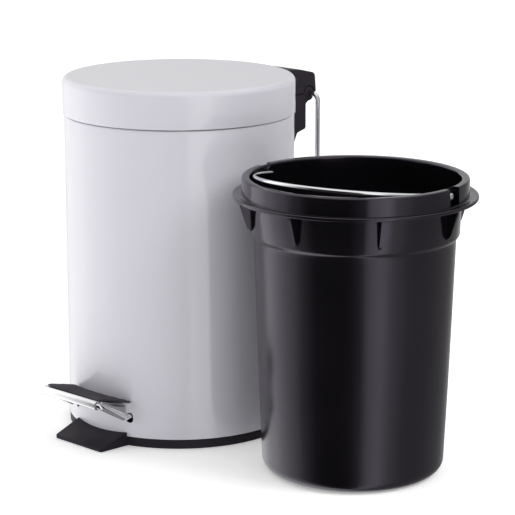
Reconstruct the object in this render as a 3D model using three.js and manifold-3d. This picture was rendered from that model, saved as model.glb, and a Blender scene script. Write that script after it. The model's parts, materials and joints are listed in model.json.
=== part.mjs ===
// Three-litre pedal bin with a lift-out inner bucket standing beside it.
// Millimetres, +Z up. The origin is on the floor at the can's axis, the pedal
// faces -Y and the lid hinge is on the +Y side. The bucket stands on the +X side.
import * as THREE from "three";
import { mergeVertices } from "three/addons/utils/BufferGeometryUtils.js";
import Module from "manifold-3d";

const wasm = await Module();
wasm.setup();

const RAD = Math.PI / 180;

// Clearances
const GAP = 0.3;
const RUNNING = 0.08;

// Can body
const SHEET = 0.6;
const BODY_R = 84.1;
const BODY_BOTTOM = 6.9;
const BEAD_R = 1.6;
const BODY_TOP = 231.6;
const ROUND_SEGMENTS = 84;

// Base
const BASE_R = 83.9;
const BASE_BAND = 6.6;
const BASE_SPIGOT_R = 82.9;
const BASE_SPIGOT_TOP = 12;
const BASE_FLOOR = 2;
const FOOT_TIP_Y = -104.5;
const FOOT_LIP = 2.5;
const FOOT_HEEL_Y = -79;
const FOOT_HEEL_Z = 10.3;
const FOOT_HALF_HEEL = 26.2;
const FOOT_HALF_TIP = 24.4;
const BOTTOM_PLATE_Z = [2.3, 3.1];

// Lid
const LID_R = 85;
const LID_TOP = 258.5;
const LID_BOTTOM = 231.9;
const LID_SHOULDER = 4.3;

// Lid hinge
const HINGE_Y = 108;
const HINGE_Z = 235.5;
const BARREL_R = 5.4;
const BOSS_R = 3.9;
const PIN_R = 1.7;
const BRACKET_HALF = 29.5;
const EAR_INNER = 21.5;
const KNUCKLE_INNER = 9.3;
const KNUCKLE_OUTER = 21.2;
const LUG_HALF = 4;
const LUG_REACH = 19.2;
const LUG_TIP_R = 2.5;
const LUG_ROOT_R = 4.5;
const LUG_ANGLE = 217.5;
const PIN_HALF = 25.4;
const SCREW_X = 18;

// Carry handle
const HANDLE_WIRE = 1.7;
const HANDLE_HALF = 38.3;
const HANDLE_DROP = 78;

// Pedal and lever
const LEVER_WIRE = 2;
const LEVER_HALF = 28;
const LEVER_FRONT_HALF = 30.3;
const LEVER_SLOT_Z = [17.4, 24.9];
const PIVOT_Y = -66;
const PIVOT_Z = 22.2;
const LEVER_KNEE_Y = -84.6;
const LEVER_RISE = 0.581;
const LEVER_FLAT_Z = 8;
const LEVER_BACK_Y = 76;
const ROLL_Y = -109.9;
const ROLL_Z = PIVOT_Z + (LEVER_KNEE_Y - ROLL_Y) * LEVER_RISE;
const ROLL_R = 3.2;
const PLATE_T = 0.9;
const PLATE_HALF_FRONT = 31;
const PLATE_HALF_BACK = 31.5;
const PLATE_TILT = 14.2 * RAD;
const ROLL_S = 24.7;
const PAD_T = 1.7;
const PAD_HALF_FRONT = 27.6;
const PAD_HALF_BACK = 30.3;

// Lift rod
const ROD_R = 1.5;
const ROD_IN_Y = 80.2;
const ROD_OUT_Y = 90.8;
const ROD_TOP = 219.9;
const ROD_CRANK_Z = 188;
const GUIDE_HEIGHTS = [60, 150];

// Bucket
const BUCKET_X = 172;
const BUCKET_TURN = 9.3;
const BUCKET_RIM = 207;
const BUCKET_SEGMENTS = 72;
const BAIL_WIRE = 1.5;
const BAIL_Z = 201.3;
const BAIL_HALF = 68;
const BAIL_DEPTH = 70.2;
const BAIL_TILT = 7.5 * RAD;

// Geometry helpers

function signedVolume(geometry) {
  const p = geometry.attributes.position;
  const index = geometry.index.array;
  const a = new THREE.Vector3();
  const b = new THREE.Vector3();
  const c = new THREE.Vector3();
  let volume = 0;
  for (let i = 0; i < index.length; i += 3) {
    a.fromBufferAttribute(p, index[i]);
    b.fromBufferAttribute(p, index[i + 1]);
    c.fromBufferAttribute(p, index[i + 2]);
    volume += a.dot(b.cross(c)) / 6;
  }
  return volume;
}

function solid(geometry) {
  const bare = geometry.clone();
  bare.deleteAttribute("normal");
  bare.deleteAttribute("uv");
  const merged = mergeVertices(bare, 1e-4);
  const tris = new Uint32Array(merged.index.array);
  if (signedVolume(merged) < 0) {
    for (let i = 0; i < tris.length; i += 3) {
      [tris[i], tris[i + 1]] = [tris[i + 1], tris[i]];
    }
  }
  const vertProperties = new Float32Array(merged.attributes.position.array);
  return new wasm.Manifold(new wasm.Mesh({ numProp: 3, vertProperties, triVerts: tris }));
}

function geometryOf(manifold) {
  const mesh = manifold.getMesh();
  const geometry = new THREE.BufferGeometry();
  geometry.setAttribute("position", new THREE.BufferAttribute(mesh.vertProperties, 3));
  geometry.setIndex(new THREE.BufferAttribute(mesh.triVerts, 1));
  geometry.computeVertexNormals();
  return geometry;
}

// Points of an arc about (a, b), angles in degrees.
function arc(a, b, radius, from, to, steps) {
  const points = [];
  for (let i = 0; i <= steps; i += 1) {
    const t = (from + ((to - from) * i) / steps) * RAD;
    points.push([a + radius * Math.cos(t), b + radius * Math.sin(t)]);
  }
  return points;
}

// A solid of revolution about Z from [radius, height] points. A profile that
// starts or ends away from the axis is a closed loop.
function revolve(profile, segments = ROUND_SEGMENTS) {
  const points = profile.map(([r, z]) => new THREE.Vector2(r, z));
  const first = points[0];
  const last = points[points.length - 1];
  if (first.x > 0 || last.x > 0) {
    points.push(first.clone());
  }
  const geometry = new THREE.LatheGeometry(points, segments);
  geometry.rotateX(Math.PI / 2);
  return solid(geometry);
}

// An outline of [a, b, cornerRadius] points as a shape.
function outline(points) {
  const shape = new THREE.Shape();
  const n = points.length;
  points.forEach(([a, b, radius = 0], i) => {
    const corner = new THREE.Vector2(a, b);
    const before = new THREE.Vector2(points[(i + n - 1) % n][0], points[(i + n - 1) % n][1]);
    const after = new THREE.Vector2(points[(i + 1) % n][0], points[(i + 1) % n][1]);
    const start = corner.clone().add(before.sub(corner).setLength(radius));
    const end = corner.clone().add(after.sub(corner).setLength(radius));
    if (i === 0) {
      shape.moveTo(start.x, start.y);
    } else {
      shape.lineTo(start.x, start.y);
    }
    if (radius > 0) {
      shape.quadraticCurveTo(corner.x, corner.y, end.x, end.y);
    }
  });
  return shape;
}

function prism(points, depth, basis) {
  const geometry = new THREE.ExtrudeGeometry(outline(points), {
    depth,
    bevelEnabled: false,
    curveSegments: 5,
  });
  geometry.applyMatrix4(basis);
  return solid(geometry);
}

const X = new THREE.Vector3(1, 0, 0);
const Y = new THREE.Vector3(0, 1, 0);
const Z = new THREE.Vector3(0, 0, 1);

// [y, z] outline extruded from x0 to x1.
function alongX(points, x0, x1) {
  return prism(points, x1 - x0, new THREE.Matrix4().makeBasis(Y, Z, X).setPosition(x0, 0, 0));
}

// [x, z] outline extruded from y0 to y1.
function alongY(points, y0, y1) {
  const flip = new THREE.Vector3(0, -1, 0);
  const basis = new THREE.Matrix4().makeBasis(X, Z, flip).setPosition(0, y1, 0);
  return prism(points, y1 - y0, basis);
}

// [x, y] outline extruded from z0 to z1.
function alongZ(points, z0, z1) {
  return prism(points, z1 - z0, new THREE.Matrix4().setPosition(0, 0, z0));
}

function block(x0, x1, y0, y1, z0, z1) {
  return alongZ([[x0, y0], [x1, y0], [x1, y1], [x0, y1]], z0, z1);
}

function cylinder(radius, from, to, segments = 32) {
  const a = new THREE.Vector3(...from);
  const b = new THREE.Vector3(...to);
  const geometry = new THREE.CylinderGeometry(radius, radius, a.distanceTo(b), segments);
  const turn = new THREE.Quaternion().setFromUnitVectors(Y, b.clone().sub(a).normalize());
  geometry.applyQuaternion(turn);
  geometry.translate((a.x + b.x) / 2, (a.y + b.y) / 2, (a.z + b.z) / 2);
  return solid(geometry);
}

function drum(radius, z0, z1) {
  return cylinder(radius, [0, 0, z0], [0, 0, z1], ROUND_SEGMENTS);
}

// A cylinder about an axis parallel to X.
function spindle(radius, y, z, x0, x1) {
  return cylinder(radius, [x0, y, z], [x1, y, z]);
}

// Replaces each inner corner of a path by an arc that is tangent to both legs.
function bent(points, radius, steps = 5) {
  const corners = points.map((p) => new THREE.Vector3(...p));
  const path = [corners[0]];
  for (let i = 1; i < corners.length - 1; i += 1) {
    const u = corners[i - 1].clone().sub(corners[i]).normalize();
    const v = corners[i + 1].clone().sub(corners[i]).normalize();
    const half = u.angleTo(v) / 2;
    const setback = radius / Math.tan(half);
    const centre = corners[i].clone().add(u.clone().add(v).setLength(radius / Math.sin(half)));
    const start = corners[i].clone().addScaledVector(u, setback).sub(centre);
    const end = corners[i].clone().addScaledVector(v, setback).sub(centre);
    const sweep = start.angleTo(end);
    for (let k = 0; k <= steps; k += 1) {
      const t = k / steps;
      const a = Math.sin((1 - t) * sweep) / Math.sin(sweep);
      const b = Math.sin(t * sweep) / Math.sin(sweep);
      path.push(centre.clone().addScaledVector(start, a).addScaledVector(end, b));
    }
  }
  path.push(corners[corners.length - 1]);
  return path;
}

// A round wire of one radius along a path. An open wire has flat ends, and a
// closed one joins its last point back to its first.
function wire(path, radius, closed = false, sides = 10) {
  const positions = [];
  const index = [];
  const count = path.length;
  const at = (i) => (closed ? path[(i + count) % count] : path[Math.min(Math.max(i, 0), count - 1)]);
  const direction = (i) => at(i + 1).clone().sub(at(i - 1)).normalize();
  let tangent = direction(0);
  const seed = Math.abs(tangent.z) < 0.9 ? Z : X;
  const normal = seed.clone().cross(tangent).normalize();
  path.forEach((point, i) => {
    const next = direction(i);
    normal.applyQuaternion(new THREE.Quaternion().setFromUnitVectors(tangent, next));
    tangent = next;
    const side = tangent.clone().cross(normal);
    for (let k = 0; k < sides; k += 1) {
      const t = (2 * Math.PI * k) / sides;
      const p = point.clone();
      p.addScaledVector(normal, radius * Math.cos(t)).addScaledVector(side, radius * Math.sin(t));
      positions.push(p.x, p.y, p.z);
    }
  });
  for (let i = 0; i < (closed ? count : count - 1); i += 1) {
    const j = (i + 1) % count;
    for (let k = 0; k < sides; k += 1) {
      const l = (k + 1) % sides;
      index.push(i * sides + k, i * sides + l, j * sides + k);
      index.push(i * sides + l, j * sides + l, j * sides + k);
    }
  }
  for (let k = 1; k < sides - 1 && !closed; k += 1) {
    const end = (count - 1) * sides;
    index.push(0, k + 1, k, end, end + k, end + k + 1);
  }
  const geometry = new THREE.BufferGeometry();
  geometry.setAttribute("position", new THREE.Float32BufferAttribute(positions, 3));
  geometry.setIndex(index);
  return solid(geometry);
}

function union(...parts) {
  return parts.reduce((sum, part) => sum.add(part));
}

// Can body and base

function bodyShell() {
  const beadZ = BODY_TOP - BEAD_R;
  const inner = BODY_R - SHEET;
  const join = -Math.acos((inner - BODY_R + BEAD_R) / BEAD_R) / RAD + 360;
  let shell = revolve([
    [BODY_R, BODY_BOTTOM],
    ...arc(BODY_R - BEAD_R, beadZ, BEAD_R, 0, join, 9),
    [inner, BODY_BOTTOM],
  ]);
  for (const side of [-1, 1]) {
    const x = side * LEVER_HALF;
    const [low, high] = LEVER_SLOT_Z;
    const slot = [[x - 2.7, low, 2.4], [x + 2.7, low, 2.4], [x + 2.7, high, 2.4], [x - 2.7, high, 2.4]];
    shell = shell.subtract(alongY(slot, -90, -70));
    shell = shell.subtract(cylinder(1.8, [side * SCREW_X, 75, 221], [side * SCREW_X, 90, 221], 20));
  }
  const rodSlot = [[-2.5, 187.5, 2.2], [2.5, 187.5, 2.2], [2.5, 220, 2.2], [-2.5, 220, 2.2]];
  return shell.subtract(alongY(rodSlot, 75, 90));
}

function base() {
  const pan = revolve([
    [0, 0],
    [BASE_R - 0.5, 0],
    [BASE_R, 0.5],
    [BASE_R, BASE_BAND],
    [BASE_SPIGOT_R, BASE_BAND],
    [BASE_SPIGOT_R, BASE_SPIGOT_TOP],
    [BASE_SPIGOT_R - 1.7, BASE_SPIGOT_TOP],
    [BASE_SPIGOT_R - 1.7, BASE_FLOOR],
    [0, BASE_FLOOR],
  ]);
  const ramp = alongX([
    [-60, 0],
    [FOOT_TIP_Y, 0, 0.4],
    [FOOT_TIP_Y, FOOT_LIP, 0.6],
    [FOOT_HEEL_Y, FOOT_HEEL_Z],
    [-60, FOOT_HEEL_Z],
  ], -30, 30);
  const plan = alongZ([
    [-FOOT_HALF_HEEL - 1.6, -60],
    [-FOOT_HALF_HEEL, FOOT_HEEL_Y],
    [-FOOT_HALF_TIP, FOOT_TIP_Y, 1.6],
    [FOOT_HALF_TIP, FOOT_TIP_Y, 1.6],
    [FOOT_HALF_HEEL, FOOT_HEEL_Y],
    [FOOT_HALF_HEEL + 1.6, -60],
  ], -1, 20);
  const foot = ramp.intersect(plan)
    .subtract(drum(BODY_R + GAP, BASE_BAND, 20))
    .subtract(drum(BASE_SPIGOT_R, -1, BASE_BAND + 1));
  return pan.add(foot);
}

function bottomPlate() {
  return drum(BASE_SPIGOT_R - 1.7 - GAP, ...BOTTOM_PLATE_Z);
}

// Ear of bent strip that carries one end of the lever's cross pin.
function pivotBracket(side) {
  const low = BOTTOM_PLATE_Z[1] + GAP;
  const web = alongX([
    [PIVOT_Y - 4.2, low],
    [PIVOT_Y + 4.2, low],
    [PIVOT_Y + 4.2, PIVOT_Z + 4.2, 3.4],
    [PIVOT_Y - 4.2, PIVOT_Z + 4.2, 3.4],
  ], 31, 33);
  const foot = block(31, 39.5, PIVOT_Y - 4.2, PIVOT_Y + 4.2, low, low + 1.6);
  const hole = spindle(LEVER_WIRE + RUNNING, PIVOT_Y, PIVOT_Z, 30, 34);
  const bracket = web.add(foot).subtract(hole);
  return side > 0 ? bracket : bracket.mirror([1, 0, 0]);
}

// Pedal, lever and lift rod

// Height of the lever's wire outside the can.
function leverZ(y) {
  return PIVOT_Z + Math.max(LEVER_KNEE_Y - y, 0) * LEVER_RISE;
}

// Closed loop of wire: the front leg lies in the pedal's rolled edge, the back
// leg lies under the lift rod, and a cross pin welded to both sides is the pivot.
function pedalLever() {
  const side = (s) => [
    [s * 12, LEVER_BACK_Y, LEVER_FLAT_Z],
    [s * LEVER_HALF, 54, LEVER_FLAT_Z],
    [s * LEVER_HALF, -44, LEVER_FLAT_Z],
    [s * LEVER_HALF, -59, PIVOT_Z],
    [s * LEVER_HALF, LEVER_KNEE_Y, PIVOT_Z],
    [s * LEVER_FRONT_HALF, ROLL_Y, ROLL_Z],
  ];
  const back = [0, LEVER_BACK_Y, LEVER_FLAT_Z];
  const loop = bent([back, ...side(1), ...side(-1).reverse(), back], 3.6, 5);
  const pin = spindle(LEVER_WIRE, PIVOT_Y, PIVOT_Z, -34.5, 34.5);
  return union(wire(loop.slice(1), LEVER_WIRE, true), pin);
}

// The pedal's own frame: x across, s outward along the plate, n up from it.
// Its origin is on the plate's top face, above the front of the can.
const PLATE_OUT = new THREE.Vector3(0, -Math.cos(PLATE_TILT), Math.sin(PLATE_TILT));
const PLATE_UP = new THREE.Vector3(0, Math.sin(PLATE_TILT), Math.cos(PLATE_TILT));
const PLATE_ORIGIN = new THREE.Vector3(0, ROLL_Y, ROLL_Z)
  .addScaledVector(PLATE_OUT, -ROLL_S)
  .addScaledVector(PLATE_UP, ROLL_R);

// [x, s] outline of even thickness between n0 and n1.
function platePrism(points, n0, n1) {
  const across = new THREE.Vector3(-1, 0, 0);
  const flipped = points.map(([x, s, r]) => [-x, s, r]);
  const basis = new THREE.Matrix4().makeBasis(across, PLATE_OUT, PLATE_UP);
  basis.setPosition(PLATE_ORIGIN.clone().addScaledVector(PLATE_UP, n0));
  return prism(flipped, n1 - n0, basis);
}

// Outline of the plate or the pad, wider on the can's side and hollowed there to
// follow the wall.
function pedalOutline(front, back, inner, outer, corner) {
  const hollow = 0.0064 * back * back;
  const points = [];
  for (let i = 0; i <= 8; i += 1) {
    const x = back * (1 - i / 4);
    points.push([x, inner - hollow * (x / back) ** 2, i % 8 === 0 ? corner / 2 : 0]);
  }
  points.push([-front, outer, corner], [front, outer, corner]);
  return points;
}

// Side of the pedal plate folded down beside the lever, deepest at the can.
function pedalCheek() {
  const tip = -83.4;
  const front = ROLL_Y + ROLL_R + 0.5;
  const under = (y) => PLATE_ORIGIN.z - 0.4 + (PLATE_ORIGIN.y - y) * Math.tan(PLATE_TILT);
  const wireTop = LEVER_WIRE / Math.cos(Math.atan(LEVER_RISE)) + 0.4;
  const profile = alongX([
    [tip + 4.2, under(tip + 4.2)],
    [tip, PIVOT_Z + 3.1, 1],
    [front, leverZ(front) + wireTop],
    [front, under(front)],
  ], 20, 40);
  const fold = alongZ([
    [PLATE_HALF_FRONT - PLATE_T, -108.5],
    [PLATE_HALF_FRONT, -108.5],
    [PLATE_HALF_BACK, -78.5],
    [PLATE_HALF_BACK - PLATE_T, -78.5],
  ], 0, 60);
  return profile.intersect(fold);
}

function pedalPlate() {
  const plan = pedalOutline(PLATE_HALF_FRONT, PLATE_HALF_BACK, 0.3, ROLL_S, 2);
  const top = platePrism(plan, -PLATE_T, 0);
  const start = 90 - PLATE_TILT / RAD;
  const rolled = [
    ...arc(ROLL_Y, ROLL_Z, ROLL_R, start, start + 230, 16),
    ...arc(ROLL_Y, ROLL_Z, ROLL_R - PLATE_T, start + 230, start, 16),
  ];
  const cheek = pedalCheek();
  return union(top, alongX(rolled, -26.4, 26.4), cheek, cheek.mirror([1, 0, 0]));
}

function pedalPad() {
  const plan = pedalOutline(PAD_HALF_FRONT, PAD_HALF_BACK, 0.9, ROLL_S - 0.6, 1.2);
  return platePrism(plan, GAP, GAP + PAD_T);
}

function liftRod() {
  const footZ = LEVER_FLAT_Z + LEVER_WIRE + GAP + ROD_R;
  const crankTop = ROD_CRANK_Z + ROD_OUT_Y - ROD_IN_Y;
  return wire(bent([
    [0, 70, footZ],
    [0, ROD_IN_Y, footZ],
    [0, ROD_IN_Y, ROD_CRANK_Z],
    [0, ROD_OUT_Y, crankTop],
    [0, ROD_OUT_Y, ROD_TOP],
  ], 3), ROD_R);
}

// Block that holds the lift rod close to the wall.
function rodGuide(z) {
  const body = alongZ([[-7, 77.6, 1.5], [7, 77.6, 1.5], [7, 86], [-7, 86]], z - 4, z + 4);
  return body.intersect(drum(BODY_R - SHEET - GAP, z - 5, z + 5))
    .subtract(cylinder(ROD_R + RUNNING, [0, ROD_IN_Y, z - 5], [0, ROD_IN_Y, z + 5]));
}

// Lid and hinge

function lidShell() {
  const shoulderR = LID_R - LID_SHOULDER;
  const shoulderZ = LID_TOP - LID_SHOULDER;
  let shell = revolve([
    [0, LID_TOP],
    [shoulderR - 6, LID_TOP],
    ...arc(shoulderR, shoulderZ, LID_SHOULDER, 90, 0, 6),
    [LID_R, LID_BOTTOM + 0.2],
    [LID_R - 0.2, LID_BOTTOM],
    [LID_R - SHEET, LID_BOTTOM],
    ...arc(shoulderR, shoulderZ, LID_SHOULDER - SHEET, 0, 90, 4),
    [shoulderR - 6, LID_TOP - SHEET],
    [0, LID_TOP - SHEET],
  ]);
  for (const side of [-1, 1]) {
    shell = shell.subtract(cylinder(1.8, [side * SCREW_X, 75, 245], [side * SCREW_X, 90, 245], 20));
  }
  return shell;
}

// Bracket fixed to the can: a block with a channel for the lift rod, and two
// ears that hold the hinge pin and the ends of the carry handle.
function bodyBracket() {
  const wide = alongX([
    [75, 229],
    [75, 184],
    [86, 186],
    [91.6, 199.4],
    [95.4, 206.8, 0.8],
    [104.7, 209.2, 1.6],
    [104.7, 229, 0.8],
  ], -BRACKET_HALF, BRACKET_HALF);
  const spine = alongX([
    [75, 228],
    [75, 181],
    [92, 181, 3],
    [97.5, 190, 3],
    [99, 205],
    [103, 210],
    [103, 228],
  ], -11, 11);
  const arm = [[75, 228], [104.7, 228], [107.6, 230.4], [104.4, 238], [102.6, 235.3], [75, 235.3]];
  const ear = (x0) => union(
    spindle(BARREL_R, HINGE_Y, HINGE_Z, x0, x0 + BRACKET_HALF - EAR_INNER),
    alongX(arm, x0, x0 + BRACKET_HALF - EAR_INNER),
  );
  const bosses = spindle(BOSS_R, HINGE_Y, HINGE_Z, -BRACKET_HALF - 1, BRACKET_HALF + 1)
    .subtract(block(-BRACKET_HALF + 2, BRACKET_HALF - 2, 100, 120, 228, 242));
  return union(wide, spine, ear(-BRACKET_HALF), ear(EAR_INNER), bosses)
    .subtract(drum(BODY_R + GAP, 150, 260))
    .subtract(drum(LID_R + 0.6, 231.2, 260))
    .subtract(block(-3, 3, 80, 94, 180, 230))
    .subtract(block(-8.8, 8.8, 80, 101.5, 212, 230))
    .subtract(block(-8.8, 8.8, 80, 110, 225.4, 230))
    .subtract(spindle(PIN_R + RUNNING, HINGE_Y, HINGE_Z, -40, 40))
    .subtract(cylinder(1.6, [-SCREW_X, 80, 221], [-SCREW_X, 91, 221], 20))
    .subtract(cylinder(1.6, [SCREW_X, 80, 221], [SCREW_X, 91, 221], 20));
}

// Block fixed to the lid: knuckles between the ears, and the lug that the lift
// rod pushes up.
function lidBracket() {
  const housing = alongX([
    [78, 236],
    [116, 236, 1.4],
    [114.6, 250.8, 3],
    [98, 254.8],
    [78, 256],
  ], -BRACKET_HALF, BRACKET_HALF);
  const knuckle = (x0, x1) => union(
    spindle(BARREL_R, HINGE_Y, HINGE_Z, x0, x1),
    alongX([[103, 235.5], [113, 235.5], [113, 242], [103, 242]], x0, x1),
  );
  const t = LUG_ANGLE * RAD;
  const tipY = HINGE_Y + LUG_REACH * Math.cos(t);
  const tipZ = HINGE_Z + LUG_REACH * Math.sin(t);
  const across = [Math.sin(t), -Math.cos(t)];
  const edge = (y, z, r) => [y + r * across[0], z + r * across[1]];
  const lug = union(
    spindle(LUG_TIP_R, tipY, tipZ, -LUG_HALF, LUG_HALF),
    alongX([
      edge(tipY, tipZ, LUG_TIP_R),
      edge(HINGE_Y, HINGE_Z, LUG_ROOT_R),
      edge(HINGE_Y, HINGE_Z, -LUG_ROOT_R),
      edge(tipY, tipZ, -LUG_TIP_R),
    ], -LUG_HALF, LUG_HALF),
  );
  const clearance = (x0, x1) => spindle(BARREL_R + 0.6, HINGE_Y, HINGE_Z, x0, x1);
  return union(
    housing
      .subtract(clearance(-40, -KNUCKLE_OUTER))
      .subtract(clearance(KNUCKLE_OUTER, 40)),
    knuckle(-KNUCKLE_OUTER, -KNUCKLE_INNER),
    knuckle(KNUCKLE_INNER, KNUCKLE_OUTER),
    knuckle(-LUG_HALF, LUG_HALF),
    lug,
  )
    .subtract(drum(LID_R + GAP, 200, 270))
    .subtract(spindle(PIN_R + RUNNING, HINGE_Y, HINGE_Z, -40, 40))
    .subtract(cylinder(1.6, [-SCREW_X, 80, 245], [-SCREW_X, 92, 245], 20))
    .subtract(cylinder(1.6, [SCREW_X, 80, 245], [SCREW_X, 92, 245], 20));
}

function hingePin() {
  return spindle(PIN_R, HINGE_Y, HINGE_Z, -PIN_HALF, PIN_HALF);
}

function carryHandle() {
  const bottom = HINGE_Z - HANDLE_DROP;
  const stub = PIN_HALF + GAP;
  const corner = 9;
  const leg = (s) => [[s * stub, HINGE_Y, HINGE_Z], [s * HANDLE_HALF, HINGE_Y, HINGE_Z]];
  const top = (s) => bent([...leg(s), [s * HANDLE_HALF, HINGE_Y, bottom + 25]], 4.4);
  const loop = bent([
    [-HANDLE_HALF, HINGE_Y, bottom + 26],
    [-HANDLE_HALF, HINGE_Y, bottom],
    [HANDLE_HALF, HINGE_Y, bottom],
    [HANDLE_HALF, HINGE_Y, bottom + 26],
  ], corner);
  return wire([...top(-1), ...loop.slice(1, -1), ...top(1).reverse()], HANDLE_WIRE);
}

// Pan-head screw along +Y with its head on the inside of the sheet.
function screw(side, headY, z, length) {
  const geometry = solid(new THREE.LatheGeometry([
    [0, -1.7], [1.6, -1.6], [2.6, -1.1], [3, -0.4], [3, 0], [1.5, 0], [1.5, length - 1.5], [0, length],
  ].map(([r, h]) => new THREE.Vector2(r, h)), 24));
  const drive = union(block(-2, 2, -3, -1.2, -0.35, 0.35), block(-0.35, 0.35, -3, -1.2, -2, 2));
  return geometry.subtract(drive).translate([side * SCREW_X, headY, z]);
}

// Inner bucket

function bucket() {
  let shell = revolve([
    [0, 0],
    ...arc(54.4, 9, 9, -90, -5, 5),
    [69.3, 165.4],
    [71.7, 169],
    [72.9, 205.2],
    [76, 205.2],
    [76.1, 192.4],
    [83.3, 192.6],
    [84, 193.3],
    [84, 194.5],
    [83.4, 195.1],
    [78.2, 194.5],
    [77.8, 194.9],
    [77.6, 205.8],
    [76.7, BUCKET_RIM],
    [72.9, BUCKET_RIM],
    [71.9, 206.1],
    [71.6, 195],
    [70.1, 169.7],
    [67.7, 165.8],
    ...arc(54.4, 9.2, 7.4, -5, -90, 4),
    [0, 1.8],
  ], BUCKET_SEGMENTS);
  const fin = alongY([[71.9, 193], [80.6, 193], [80.4, 190], [75, 173.5, 1], [71, 171]], -0.9, 0.9);
  for (let i = 0; i < 8; i += 1) {
    shell = shell.add(fin.rotate([0, 0, 45 * i]));
  }
  for (const turn of [0, 180]) {
    const cheek = union(
      block(72.2, 77, 6, 7.2, 193, 206.2),
      block(72.2, 77, -7.2, -6, 193, 206.2),
      cylinder(4.2, [69.9, 0, BAIL_Z], [72.4, 0, BAIL_Z], 24),
    ).rotate([0, 0, turn]);
    const recess = block(73.2, 80, -6, 6, 195.4, 210).rotate([0, 0, turn]);
    const bore = cylinder(BAIL_WIRE + RUNNING, [66, 0, BAIL_Z], [76, 0, BAIL_Z], 24).rotate([0, 0, turn]);
    shell = shell.add(cheek).subtract(recess).subtract(bore);
  }
  return shell.rotate([0, 0, BUCKET_TURN]).translate([BUCKET_X, 0, 0]);
}

// Wire bail lying against the front of the rim, its ends headed over in the
// rim's two recesses.
function bucketBail() {
  const head = 75.2;
  const arch = [];
  for (let i = 0; i <= 32; i += 1) {
    const t = (12 + (156 * i) / 32) * RAD;
    arch.push(new THREE.Vector3(BAIL_HALF * Math.cos(t), -BAIL_DEPTH * Math.sin(t), 0));
  }
  const lead = (s) => bent([[s * head, 0, 0], [s * BAIL_HALF, 0, 0], [arch[0].x * s, arch[0].y, 0]], 2.6, 5);
  const path = [...lead(1), ...arch.slice(1, -1), ...lead(-1).reverse()];
  const bow = wire(path, BAIL_WIRE);
  const knob = (s) => cylinder(2.3, [s * 73.6, 0, 0], [s * (head + 0.4), 0, 0], 24);
  return union(bow, knob(-1), knob(1))
    .rotate([-BAIL_TILT / RAD, 0, 0])
    .translate([0, 0, BAIL_Z])
    .rotate([0, 0, BUCKET_TURN])
    .translate([BUCKET_X, 0, 0]);
}

// Assembly

const FINISHES = {
  paint: { color: 0xd4d4dc, roughness: 0.22, metalness: 0 },
  steel: { color: 0xb4b6ba, roughness: 0.4, metalness: 1 },
  chrome: { color: 0xe6e7ea, roughness: 0.08, metalness: 1 },
  blackPlastic: { color: 0x141417, roughness: 0.45, metalness: 0 },
  glossPlastic: { color: 0x0d0d10, roughness: 0.18, metalness: 0 },
  greyPlastic: { color: 0x8c8e92, roughness: 0.5, metalness: 0 },
  rubber: { color: 0x1b1b1d, roughness: 0.8, metalness: 0 },
};

function piece(name, finish, shape) {
  const mesh = new THREE.Mesh(geometryOf(shape), new THREE.MeshStandardMaterial(FINISHES[finish]));
  mesh.name = name;
  mesh.material.name = finish;
  return mesh;
}

const part = new THREE.Group();
part.name = "pedal_bin";
part.add(
  piece("body_shell", "paint", bodyShell()),
  piece("base", "blackPlastic", base()),
  piece("bottom_plate", "steel", bottomPlate()),
  piece("pivot_bracket_left", "steel", pivotBracket(-1)),
  piece("pivot_bracket_right", "steel", pivotBracket(1)),
  piece("pedal_lever", "chrome", pedalLever()),
  piece("pedal_plate", "chrome", pedalPlate()),
  piece("pedal_pad", "rubber", pedalPad()),
  piece("lift_rod", "steel", liftRod()),
  piece("rod_guide_lower", "greyPlastic", rodGuide(GUIDE_HEIGHTS[0])),
  piece("rod_guide_upper", "greyPlastic", rodGuide(GUIDE_HEIGHTS[1])),
  piece("lid_shell", "paint", lidShell()),
  piece("lid_bracket", "blackPlastic", lidBracket()),
  piece("body_bracket", "blackPlastic", bodyBracket()),
  piece("hinge_pin", "steel", hingePin()),
  piece("carry_handle", "chrome", carryHandle()),
  piece("lid_screw_left", "steel", screw(-1, 81, 245, 10)),
  piece("lid_screw_right", "steel", screw(1, 81, 245, 10)),
  piece("body_screw_left", "steel", screw(-1, 80.4, 221, 10)),
  piece("body_screw_right", "steel", screw(1, 80.4, 221, 10)),
  piece("bucket", "glossPlastic", bucket()),
  piece("bucket_bail", "chrome", bucketBail()),
);

export default part;
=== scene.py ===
"""Pedal bin with its inner bucket beside it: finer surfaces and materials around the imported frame."""
import json
import math

import bmesh
import bpy
from mathutils import Matrix, Vector


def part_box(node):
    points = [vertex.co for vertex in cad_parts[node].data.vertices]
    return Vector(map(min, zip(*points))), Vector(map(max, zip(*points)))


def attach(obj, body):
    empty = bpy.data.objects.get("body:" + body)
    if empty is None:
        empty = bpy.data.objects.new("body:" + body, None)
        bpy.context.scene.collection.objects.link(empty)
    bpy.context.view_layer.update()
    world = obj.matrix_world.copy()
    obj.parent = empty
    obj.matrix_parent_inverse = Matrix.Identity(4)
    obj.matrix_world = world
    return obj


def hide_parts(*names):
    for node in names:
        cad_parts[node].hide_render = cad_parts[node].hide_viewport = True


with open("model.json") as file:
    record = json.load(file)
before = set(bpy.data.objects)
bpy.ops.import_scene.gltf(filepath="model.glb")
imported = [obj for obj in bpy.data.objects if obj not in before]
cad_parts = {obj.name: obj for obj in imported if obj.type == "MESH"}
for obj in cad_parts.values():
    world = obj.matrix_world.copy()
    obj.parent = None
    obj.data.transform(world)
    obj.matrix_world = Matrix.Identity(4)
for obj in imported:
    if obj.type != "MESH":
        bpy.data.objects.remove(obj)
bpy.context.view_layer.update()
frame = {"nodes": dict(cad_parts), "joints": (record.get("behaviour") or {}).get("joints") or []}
scene = bpy.context.scene
MM = 0.001

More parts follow.
